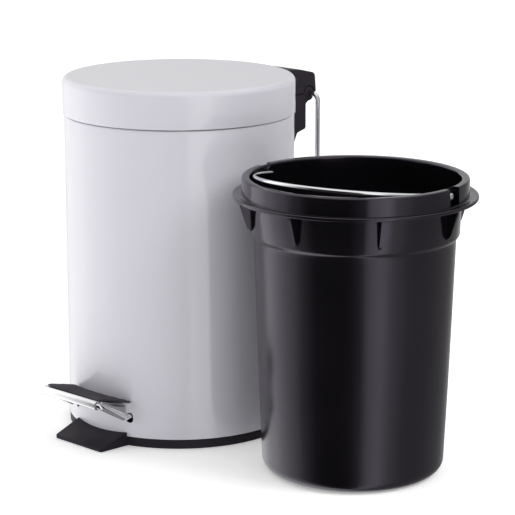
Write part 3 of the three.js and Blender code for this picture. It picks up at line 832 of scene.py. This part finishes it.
# ---------------------------------------------------------------- handle, rod, screws
def build_handle():
    """Wire handle that hangs from the hinge's two ears."""
    bottom = HINGE_Z - HANDLE_DROP
    splice = bottom + 25
    upper_bend, lower_bend = HANDLE_BENDS

    def top(s):
        x = s * HANDLE_HALF
        stub = (s * (PIN_HALF + GAP), HINGE_Y, HINGE_Z)
        return bent([stub, (x, HINGE_Y, HINGE_Z), (x, HINGE_Y, splice)], upper_bend)

    loop = bent([
        (-HANDLE_HALF, HINGE_Y, splice), (-HANDLE_HALF, HINGE_Y, bottom),
        (HANDLE_HALF, HINGE_Y, bottom), (HANDLE_HALF, HINGE_Y, splice)], lower_bend, 14)
    return wire("handle_wire", top(-1) + loop[1:-1] + top(1)[::-1], HANDLE_WIRE)


def build_rod():
    """Wire that stands on the lever's back end, and cranks out through the wall under the lid's lug."""
    foot = LEVER_FLAT_Z + LEVER_WIRE + GAP + ROD_R
    crank_top = ROD_CRANK_Z + ROD_OUT_Y - ROD_IN_Y
    path = bent([
        (0, ROD_FOOT_Y, foot), (0, ROD_IN_Y, foot), (0, ROD_IN_Y, ROD_CRANK_Z),
        (0, ROD_OUT_Y, crank_top), (0, ROD_OUT_Y, ROD_TOP)], 3, 9)
    return wire("lift_rod_wire", path, ROD_R)


def build_screw(name, node):
    """Cross-head screw in the place of its CAD node."""
    shank = [(SCREW_R, 0), (SCREW_R, SCREW_LENGTH - SCREW_R), (0, SCREW_LENGTH)]
    screw = lathe(name, SCREW_HEAD + shank, 40)
    thin, wide = SCREW_DRIVE
    drive = prism("drive", box_points(-thin, thin, -wide, wide), *SCREW_DRIVE_DEPTH, ALONG_Z)
    cross = prism("cross", box_points(-wide, wide, -thin, thin), *SCREW_DRIVE_DEPTH, ALONG_Z)
    combine(screw, [drive, cross], "DIFFERENCE")
    point_back = Matrix(((1, 0, 0, 0), (0, 0, 1, 0), (0, -1, 0, 0), (0, 0, 0, 1)))
    screw.data.transform(Matrix.Translation(Vector(screw_place(node)) * MM) @ point_back)
    return screw


# ---------------------------------------------------------------- bucket
def bucket_profile():
    """Half section of the bucket: up its outside, over the flange and rim, and down its inside."""
    outer_foot = [(0, 0), (30, 0)] + arc(54.4, 9, 9, -90, -5, 14)
    outer_wall = [(65.6, 60), (67.4, 110), (69.1, 162)]
    outer_step = [(69.3, 165.0), (69.6, 165.9), (70.4, 166.9), (71.2, 167.8), (71.6, 168.9)]
    collar = [(72.2, 185), (72.9, 205.2)]
    skirt = [(76.0, 205.2), (76.1, 192.4)]
    flange = [(79.6, 192.5)] + arc(83.2, 193.4, 0.8, -90, 0, 4) + arc(83.2, 194.3, 0.8, 0, 90, 5)
    flange += [(80.8, 194.75), (78.3, 194.5), (77.9, 194.7), (77.8, 195.1)]
    rim = [(77.6, 200)] + arc(76.2, 205.6, 1.4, 0, 90, 6) + arc(73.4, 205.5, 1.5, 90, 180, 6)
    inner_collar = [(71.6, 195), (70.8, 182), (70.1, 170.2)]
    inner_step = [(69.8, 168.6), (69.0, 167.4), (68.2, 166.5), (67.8, 165.2)]
    inner_wall = [(66.2, 120), (64.2, 60)]
    inner_foot = arc(54.4, 9.2, 7.4, -5, -90, 12) + [(30, 1.8), (0, 1.8)]
    outside = outer_foot + outer_wall + outer_step + collar + skirt + flange
    return outside + rim + inner_collar + inner_step + inner_wall + inner_foot


def build_fins():
    """Small gussets under the flange, spread evenly round the collar."""
    outline = rounded([(71.9, 193), (80.6, 193), (80.4, 190, 0.8), (75, 173.5, 1.4), (71, 171)])
    fins = []
    for i in range(FIN_COUNT):
        fin = prism("fin", outline, -FIN_HALF, FIN_HALF, ALONG_Y)
        fins.append(turned(fin, math.radians(360 / FIN_COUNT * i)))
    return fins


def bail_rod(name, radius, reach):
    """Round bar along the bail's axis, between two distances from the bucket's."""
    start, end = reach
    return rod(name, radius, (start, 0, BAIL_Z), (end, 0, BAIL_Z))


def seat_additions(turn):
    """Two walls beside an end of the bail, and the boss that carries it."""
    pieces = []
    for y0, y1 in ((SEAT_HALF, SEAT_HALF + SEAT_WALL), (-SEAT_HALF - SEAT_WALL, -SEAT_HALF)):
        pieces.append(prism("cheek", box_points(*SEAT_WALL_REACH, y0, y1), *SEAT_WALL_Z, ALONG_Z))
    pieces.append(bail_rod("boss", BOSS_R, BOSS_REACH))
    return [turned(piece, turn) for piece in pieces]


def seat_recess(turn):
    """The notch in the rim over an end of the bail."""
    outline = box_points(*RECESS_REACH, -SEAT_HALF, SEAT_HALF)
    return turned(prism("recess", outline, *RECESS_Z, ALONG_Z), turn)


def seat_bore(turn):
    """The hole for an end of the bail."""
    return turned(bail_rod("bore", BORE_R, BORE_REACH), turn)


def build_bucket():
    """Moulded bucket with its fins, and a seat for each end of the bail."""
    shell = lathe("bucket_shell", bucket_profile())
    ends = (0, math.pi)
    combine(shell, build_fins() + [piece for turn in ends for piece in seat_additions(turn)], "UNION")
    combine(shell, [seat_recess(turn) for turn in ends] + [seat_bore(turn) for turn in ends], "DIFFERENCE")
    shell.data.transform(BUCKET_PLACE)
    return shell


def build_bail():
    """Bowed wire between the two seats, with a knob on each end, tilted low in the mouth."""
    arch = []
    for i in range(ARCH_STEPS + 1):
        t = math.radians(ARCH_START + (180 - 2 * ARCH_START) * i / ARCH_STEPS)
        arch.append(Vector((BAIL_HALF * math.cos(t), -BAIL_DEPTH * math.sin(t), 0)))

    def lead(s):
        return bent([(s * BAIL_HEAD, 0, 0), (s * BAIL_HALF, 0, 0), (arch[0].x * s, arch[0].y, 0)], 2.6)

    bail = wire("bail_wire", lead(1) + arch[1:-1] + lead(-1)[::-1], BAIL_WIRE)
    knobs = []
    for s in (-1, 1):
        knob = rod("knob", KNOB_R, (s * KNOB_REACH[0], 0, 0), (s * KNOB_REACH[1], 0, 0))
        knobs.append(bevel(knob, 0.5, 3, 40))
    combine(bail, knobs, "UNION", 50)
    lowered = Matrix.Translation((0, 0, BAIL_Z * MM)) @ Matrix.Rotation(-BAIL_TILT, 4, "X")
    bail.data.transform(BUCKET_PLACE @ lowered)
    return bail


finish_piece(build_body(), "can", PAINT, "body_shell")
finish_piece(build_lid(), "lid", PAINT, "lid_shell")
finish_piece(build_base(), "can", BLACK, "base")
finish_piece(build_lever(), "pedal", CHROME, "pedal_lever")
finish_piece(build_plate(), "pedal", CHROME, "pedal_plate")
finish_piece(build_pad(), "pedal", RUBBER, "pedal_pad")
finish_piece(build_handle(), "handle", CHROME, "carry_handle")
finish_piece(build_rod(), "rod", STEEL, "lift_rod")
finish_piece(build_bucket(), "bucket", GLOSS_BLACK, "bucket")
finish_piece(build_bail(), "bail", CHROME, "bucket_bail")
finish_piece(softened("hinge_block", "lid_bracket"), "lid", BLACK, "lid_bracket")
finish_piece(softened("hinge_base", "body_bracket"), "can", BLACK, "body_bracket")
finish_piece(build_screw("lid_screw_l", "lid_screw_left"), "lid", STEEL, "lid_screw_left")
finish_piece(build_screw("lid_screw_r", "lid_screw_right"), "lid", STEEL, "lid_screw_right")
finish_piece(build_screw("body_screw_l", "body_screw_left"), "can", STEEL, "body_screw_left")
finish_piece(build_screw("body_screw_r", "body_screw_right"), "can", STEEL, "body_screw_right")

# CAD nodes whose shape is right as it is
CAD_FINISHES = {
    "bottom_plate": STEEL,
    "pivot_bracket_left": STEEL,
    "pivot_bracket_right": STEEL,
    "hinge_pin": STEEL,
    "rod_guide_lower": GREY,
    "rod_guide_upper": GREY,
}
for node, material in CAD_FINISHES.items():
    obj = frame["nodes"][node]
    obj.data.materials.clear()
    obj.data.materials.append(material)

# ---------------------------------------------------------------- stage and light, metres
FLOOR_HALF = 6
FLOOR_Z = -0.0002
FLOOR_GLOW = 0.3
BACKDROP_GLOW = 1.02

# Brightness of the studio's walls by direction, in degrees round from +X, and of its ceiling. The
# ceiling takes over from the walls as a direction's unit vector rises between the two heights.
STUDIO_WALLS = [
    (-180, 1.25), (-160, 1.4), (-145, 1.05), (-128, 0.7), (-110, 0.22), (-95, 0.02),
    (-56, 0.015), (-40, 0.12), (-31, 0.85), (-16, 1.15), (-4, 0.5),
    (18, 0.25), (40, 0.22), (90, 0.25), (125, 0.6), (180, 1.25)]
STUDIO_CEILING = 0.96
CEILING_RISE = (0.48, 0.88)
STUDIO_STRENGTH = 2.0


def build_floor():
    """White paper that glows a little, so that shadows on it stay faint."""
    bm = bmesh.new()
    corners = [(-1, -1), (1, -1), (1, 1), (-1, 1)]
    bm.faces.new([bm.verts.new((x * FLOOR_HALF, y * FLOOR_HALF, FLOOR_Z)) for x, y in corners])
    floor = new_object("floor", bm)
    s = Shader(
        "floor_paper", Roughness=0.9, Specular_IOR_Level=0.1,
        Emission_Color=WHITE, Emission_Strength=FLOOR_GLOW)
    s.set("Base Color", s.ramp(s.noise(3, 3), (0.965, 0.965, 0.965, 1), (0.98, 0.98, 0.98, 1)))
    floor.data.materials.append(s.material)
    floor.visible_glossy = False


def build_backdrop():
    """White dome far behind everything, seen by the camera only."""
    dome = lathe("backdrop", [(9, -0.5), (9, 3), (7.5, 6), (4.5, 8), (0, 8.8)], 64)
    dome.data.transform(Matrix.Scale(1 / MM, 4))
    dome.visible_glossy = False
    dome.visible_diffuse = False
    dome.visible_shadow = False
    material = bpy.data.materials.new("backdrop_paper")
    material.use_nodes = True
    tree = material.node_tree
    tree.nodes.remove(tree.nodes["Principled BSDF"])
    emission = tree.nodes.new("ShaderNodeEmission")
    emission.inputs["Strength"].default_value = BACKDROP_GLOW
    tree.links.new(emission.outputs["Emission"], tree.nodes["Material Output"].inputs["Surface"])
    dome.data.materials.append(material)


def grey(level):
    """World colour of a brightness, before the world's strength."""
    value = level / STUDIO_STRENGTH
    return (value, value, value, 1)


def build_studio():
    """World light: walls that change with direction, under an even ceiling."""
    world = bpy.data.worlds.new("studio")
    world.use_nodes = True
    tree = world.node_tree
    link = tree.links.new

    def math_node(operation, *values):
        node = tree.nodes.new("ShaderNodeMath")
        node.operation = operation
        for socket, value in zip(node.inputs, values):
            if isinstance(value, (int, float)):
                socket.default_value = value
            else:
                link(value, socket)
        return node.outputs[0]

    coords = tree.nodes.new("ShaderNodeTexCoord")
    split = tree.nodes.new("ShaderNodeSeparateXYZ")
    link(coords.outputs["Generated"], split.inputs[0])
    heading = math_node("ARCTAN2", split.outputs["Y"], split.outputs["X"])
    walls = tree.nodes.new("ShaderNodeValToRGB")
    walls.color_ramp.interpolation = "EASE"
    elements = walls.color_ramp.elements
    while len(elements) < len(STUDIO_WALLS):
        elements.new(0.5)
    for element, (degrees, level) in zip(elements, STUDIO_WALLS):
        element.position = (degrees + 180) / 360
        element.color = grey(level)
    link(math_node("MULTIPLY_ADD", heading, 1 / (2 * math.pi), 0.5), walls.inputs["Fac"])

    rise = tree.nodes.new("ShaderNodeMapRange")
    rise.interpolation_type = "SMOOTHSTEP"
    rise.inputs["From Min"].default_value, rise.inputs["From Max"].default_value = CEILING_RISE
    link(split.outputs["Z"], rise.inputs["Value"])
    blend = tree.nodes.new("ShaderNodeMix")
    blend.data_type = "RGBA"
    link(rise.outputs["Result"], blend.inputs["Factor"])
    link(walls.outputs["Color"], blend.inputs[6])
    blend.inputs[7].default_value = grey(STUDIO_CEILING)
    background = tree.nodes["Background"]
    background.inputs["Strength"].default_value = STUDIO_STRENGTH
    link(blend.outputs[2], background.inputs["Color"])
    scene.world = world


def area_light(name, location, target, size, energy):
    """Soft rectangular light that isn't seen in reflections."""
    data = bpy.data.lights.new(name, "AREA")
    data.shape = "RECTANGLE"
    data.size, data.size_y = size
    data.energy = energy
    light = bpy.data.objects.new(name, data)
    light.location = location
    light.visible_glossy = False
    direction = Vector(target) - Vector(location)
    light.rotation_euler = direction.to_track_quat("-Z", "Y").to_euler()
    scene.collection.objects.link(light)


build_floor()
build_backdrop()
build_studio()
area_light("front_fill", (-0.41, -1.55, 0.4), (0, 0, 0.12), (1.2, 0.8), 7.5)
area_light("right_fill", (1.45, 0.55, 1.35), (0, 0, 0.2), (1.0, 0.9), 17)
scene.view_settings.view_transform = "Standard"
